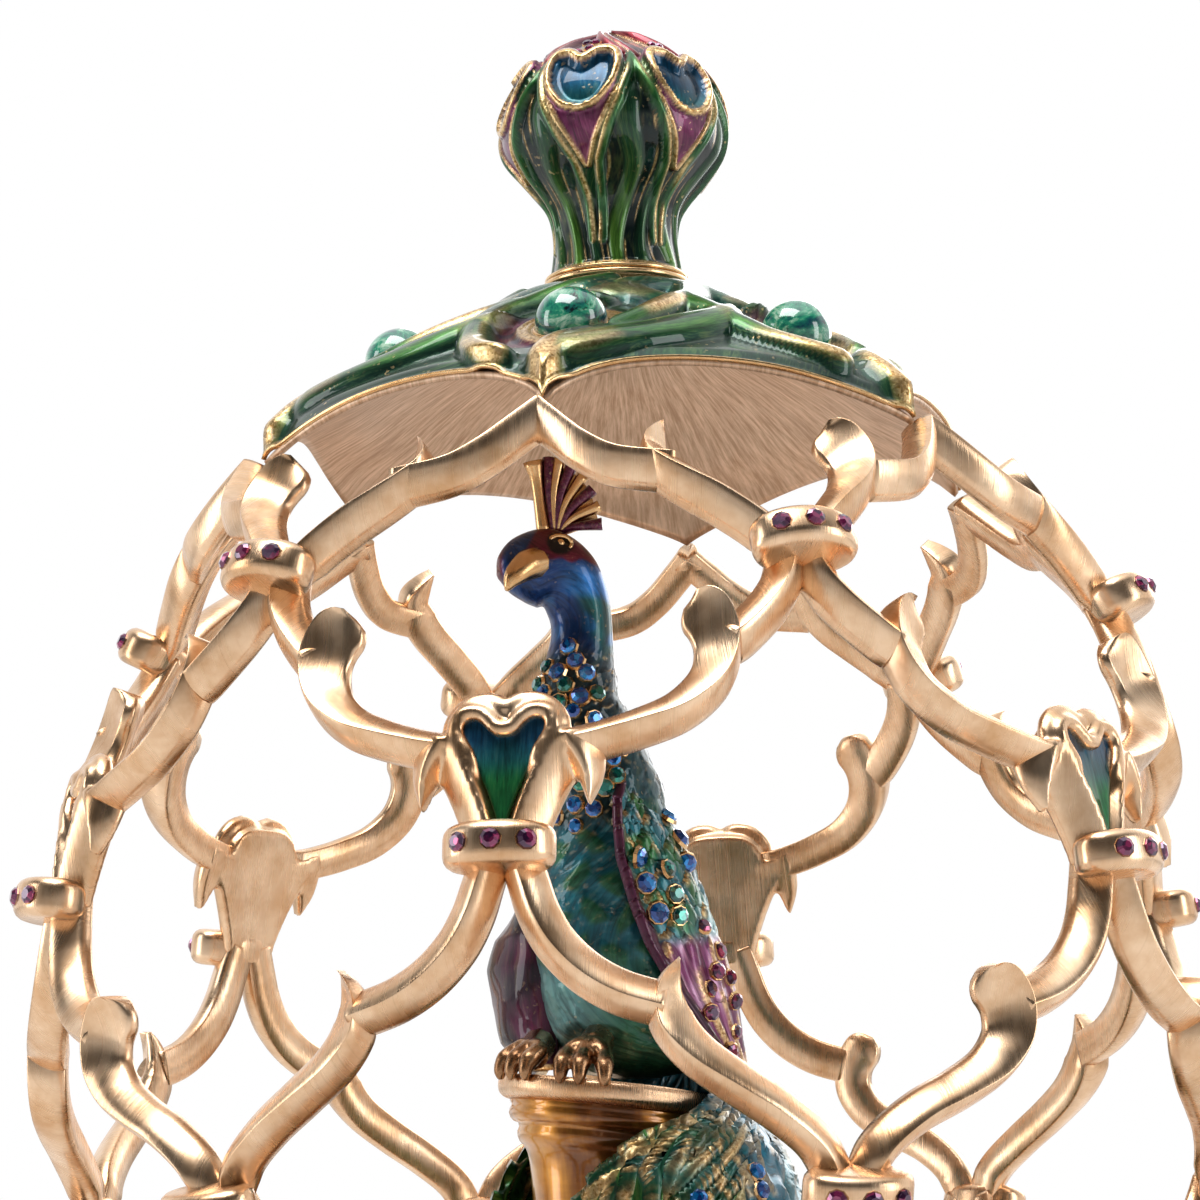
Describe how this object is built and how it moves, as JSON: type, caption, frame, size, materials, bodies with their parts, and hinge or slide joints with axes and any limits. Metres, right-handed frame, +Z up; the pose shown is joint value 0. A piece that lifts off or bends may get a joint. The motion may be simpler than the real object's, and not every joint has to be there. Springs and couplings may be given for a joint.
{
  "type": "jewelled egg",
  "caption": "Decorative jewelled egg on a stand: an open gilt scroll lattice under an enamelled scalloped cap with a finial, and a peacock on a pedestal inside.",
  "frame": {"origin": "on the table under the middle of the round foot", "axes": "+Z up through the finial, -Y towards the front column of the lattice, +X to the viewer's right"},
  "size_m": [0.183, 0.1852, 0.305],
  "materials": {
    "satin_gilt": "satin gold plate, finely brushed",
    "green_enamel": "glossy translucent enamel with gilt edges",
    "peacock_enamel": "glossy blue and green enamel",
    "green_cabochon": "polished mottled green stone",
    "amber_gilt": "amber lacquer over gilt"
  },
  "bodies": {
    "root": {"cabochon_1": "green_cabochon", "cabochon_2": "green_cabochon", "cabochon_3": "green_cabochon", "cabochon_4": "green_cabochon", "cabochon_5": "green_cabochon", "cabochon_6": "green_cabochon", "cap": "green_enamel", "cup": "green_enamel", "finial": "green_enamel", "foot": "green_enamel", "foot_rim": "satin_gilt", "lattice_base_1": "satin_gilt", "lattice_base_2": "satin_gilt", "lattice_base_3": "satin_gilt", "lattice_base_4": "satin_gilt", "lattice_base_5": "satin_gilt", "lattice_base_6": "satin_gilt", "lattice_bloom_1": "satin_gilt", "lattice_bloom_2": "satin_gilt", "lattice_bloom_3": "satin_gilt", "lattice_bloom_4": "satin_gilt", "lattice_bloom_5": "satin_gilt", "lattice_bloom_6": "satin_gilt", "lattice_fork_1": "satin_gilt", "lattice_fork_2": "satin_gilt", "lattice_fork_3": "satin_gilt", "lattice_fork_4": "satin_gilt", "lattice_fork_5": "satin_gilt", "lattice_fork_6": "satin_gilt", "lattice_lower_1": "satin_gilt", "lattice_lower_2": "satin_gilt", "lattice_lower_3": "satin_gilt", "lattice_lower_4": "satin_gilt", "lattice_lower_5": "satin_gilt", "lattice_lower_6": "satin_gilt", "lattice_upper_1": "satin_gilt", "lattice_upper_2": "satin_gilt", "lattice_upper_3": "satin_gilt", "lattice_upper_4": "satin_gilt", "lattice_upper_5": "satin_gilt", "lattice_upper_6": "satin_gilt", "peacock": "peacock_enamel", "pedestal": "amber_gilt", "stem": "green_enamel"}
  },
  "joints": []
}
